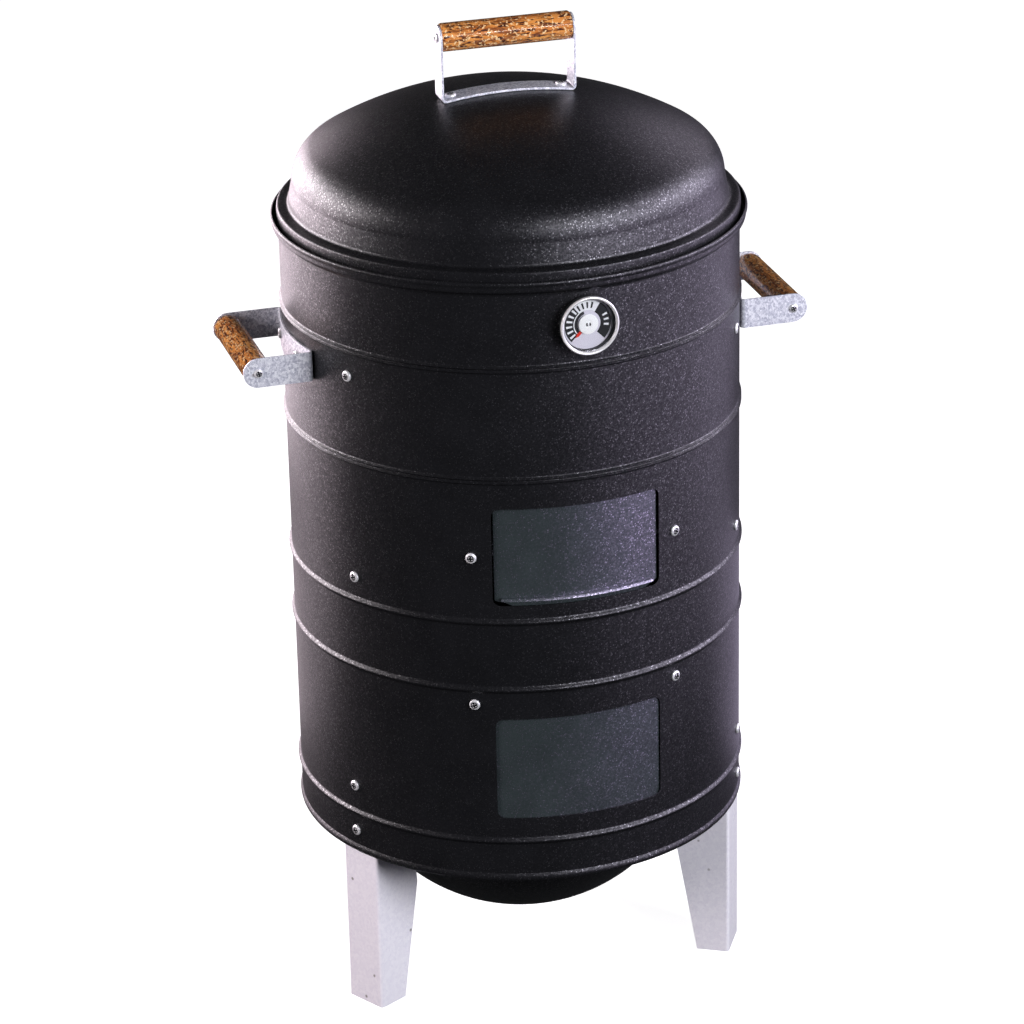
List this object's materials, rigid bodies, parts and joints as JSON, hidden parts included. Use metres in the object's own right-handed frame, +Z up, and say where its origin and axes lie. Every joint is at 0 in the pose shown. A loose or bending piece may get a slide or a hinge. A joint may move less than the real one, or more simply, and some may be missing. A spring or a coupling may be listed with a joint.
{
  "type": "vertical charcoal water smoker",
  "caption": "Upright charcoal smoker: a beaded round drum on sheet legs with a lift-off domed lid, two access doors, grids, a water pan, a charcoal bowl and a dial thermometer.",
  "frame": {"origin": "on the floor, on the drum's axis, midway between the side handles", "axes": "+Z up, -Y towards the doors and the thermometer, +X to the right seen from the front"},
  "size_m": [0.518, 0.4271, 0.8945],
  "materials": {
    "black_enamel": "satin black powder coat with a fine speckle",
    "pan_enamel": "satin black enamel",
    "door_enamel": "satin dark grey-green enamel with a fine speckle",
    "leg_steel": "pale matt galvanised sheet",
    "zinc_strip": "mottled zinc-plated strip",
    "zinc_fastener": "bright zinc plating",
    "wood_grip": "oiled orange-brown hardwood with a satin lacquer",
    "chromed_wire": "bright chromed wire",
    "gauge_chrome": "polished",
    "dial_face": "printed dial with plain zones",
    "pointer_red": "gloss red",
    "lens_glass": "clear"
  },
  "bodies": {
    "drum_unit": {"body_shell": "black_enamel", "left_handle_bracket": "zinc_strip", "left_handle_grip": "wood_grip", "left_grip_screws": "zinc_fastener", "left_bracket_bolts": "zinc_fastener", "left_bracket_nuts": "zinc_fastener", "right_handle_bracket": "zinc_strip", "right_handle_grip": "wood_grip", "right_grip_screws": "zinc_fastener", "right_bracket_bolts": "zinc_fastener", "right_bracket_nuts": "zinc_fastener", "upper_hinge_left": "zinc_strip", "upper_hinge_right": "zinc_strip", "lower_hinge_left": "zinc_strip", "lower_hinge_right": "zinc_strip", "door_bolts": "zinc_fastener", "door_nuts": "zinc_fastener", "leg_left": "leg_steel", "leg_right": "leg_steel", "leg_rear": "leg_steel", "leg_bolts": "zinc_fastener", "leg_nuts": "zinc_fastener", "upper_support_left": "zinc_strip", "upper_support_right": "zinc_strip", "upper_support_rear": "zinc_strip", "lower_support_left": "zinc_strip", "lower_support_right": "zinc_strip", "lower_support_rear": "zinc_strip", "support_bolts": "zinc_fastener", "support_nuts": "zinc_fastener", "thermometer_case": "gauge_chrome", "thermometer_dial": "dial_face", "thermometer_hub": "gauge_chrome", "thermometer_lens": "lens_glass", "thermometer_bezel": "gauge_chrome", "thermometer_stem": "gauge_chrome", "thermometer_nut": "zinc_fastener"},
    "lid_unit": {"lid_shell": "black_enamel", "lid_handle_bracket": "zinc_strip", "lid_handle_grip": "wood_grip", "lid_grip_screws": "zinc_fastener", "lid_bracket_bolts": "zinc_fastener", "lid_bracket_nuts": "zinc_fastener"},
    "upper_flap": {"upper_door": "door_enamel", "upper_door_pins": "zinc_fastener"},
    "lower_flap": {"lower_door": "door_enamel", "lower_door_pins": "zinc_fastener"},
    "gauge_needle": {"thermometer_pointer": "pointer_red"},
    "top_rack": {"upper_grid": "chromed_wire"},
    "middle_rack": {"lower_grid": "chromed_wire"},
    "water_bowl": {"water_pan": "pan_enamel"},
    "fire_pan": {"charcoal_pan": "pan_enamel"},
    "fire_grate": {"charcoal_grate": "chromed_wire"}
  },
  "joints": [
    {"name": "lid_lift", "type": "slide", "parent": "drum_unit", "child": "lid_unit", "axis": [0, 0, 1], "range_m": [0, 0.3]},
    {"name": "upper_door_swing", "type": "hinge", "parent": "drum_unit", "child": "upper_flap", "pos_m": [0, -0.179, 0.471], "axis": [-1, 0, 0], "range_deg": [0, 75]},
    {"name": "lower_door_swing", "type": "hinge", "parent": "drum_unit", "child": "lower_flap", "pos_m": [0, -0.179, 0.331], "axis": [1, 0, 0], "range_deg": [0, 80]},
    {"name": "pointer_turn", "type": "hinge", "parent": "drum_unit", "child": "gauge_needle", "pos_m": [0.00799, -0.20805, 0.683], "axis": [-0.0384, 0.9993, 0], "range_deg": [0, 270]},
    {"name": "upper_grid_lift", "type": "slide", "parent": "drum_unit", "child": "top_rack", "axis": [0, 0, 1], "range_m": [0, 0.035]},
    {"name": "water_pan_lift", "type": "slide", "parent": "drum_unit", "child": "water_bowl", "axis": [0, 0, 1], "range_m": [0, 0.04]},
    {"name": "lower_grid_lift", "type": "slide", "parent": "water_bowl", "child": "middle_rack", "axis": [0, 0, 1], "range_m": [0, 0.07]},
    {"name": "charcoal_pan_lift", "type": "slide", "parent": "drum_unit", "child": "fire_pan", "axis": [0, 0, 1], "range_m": [0, 0.07]},
    {"name": "charcoal_grate_lift", "type": "slide", "parent": "fire_pan", "child": "fire_grate", "axis": [0, 0, 1], "range_m": [0, 0.05]}
  ]
}
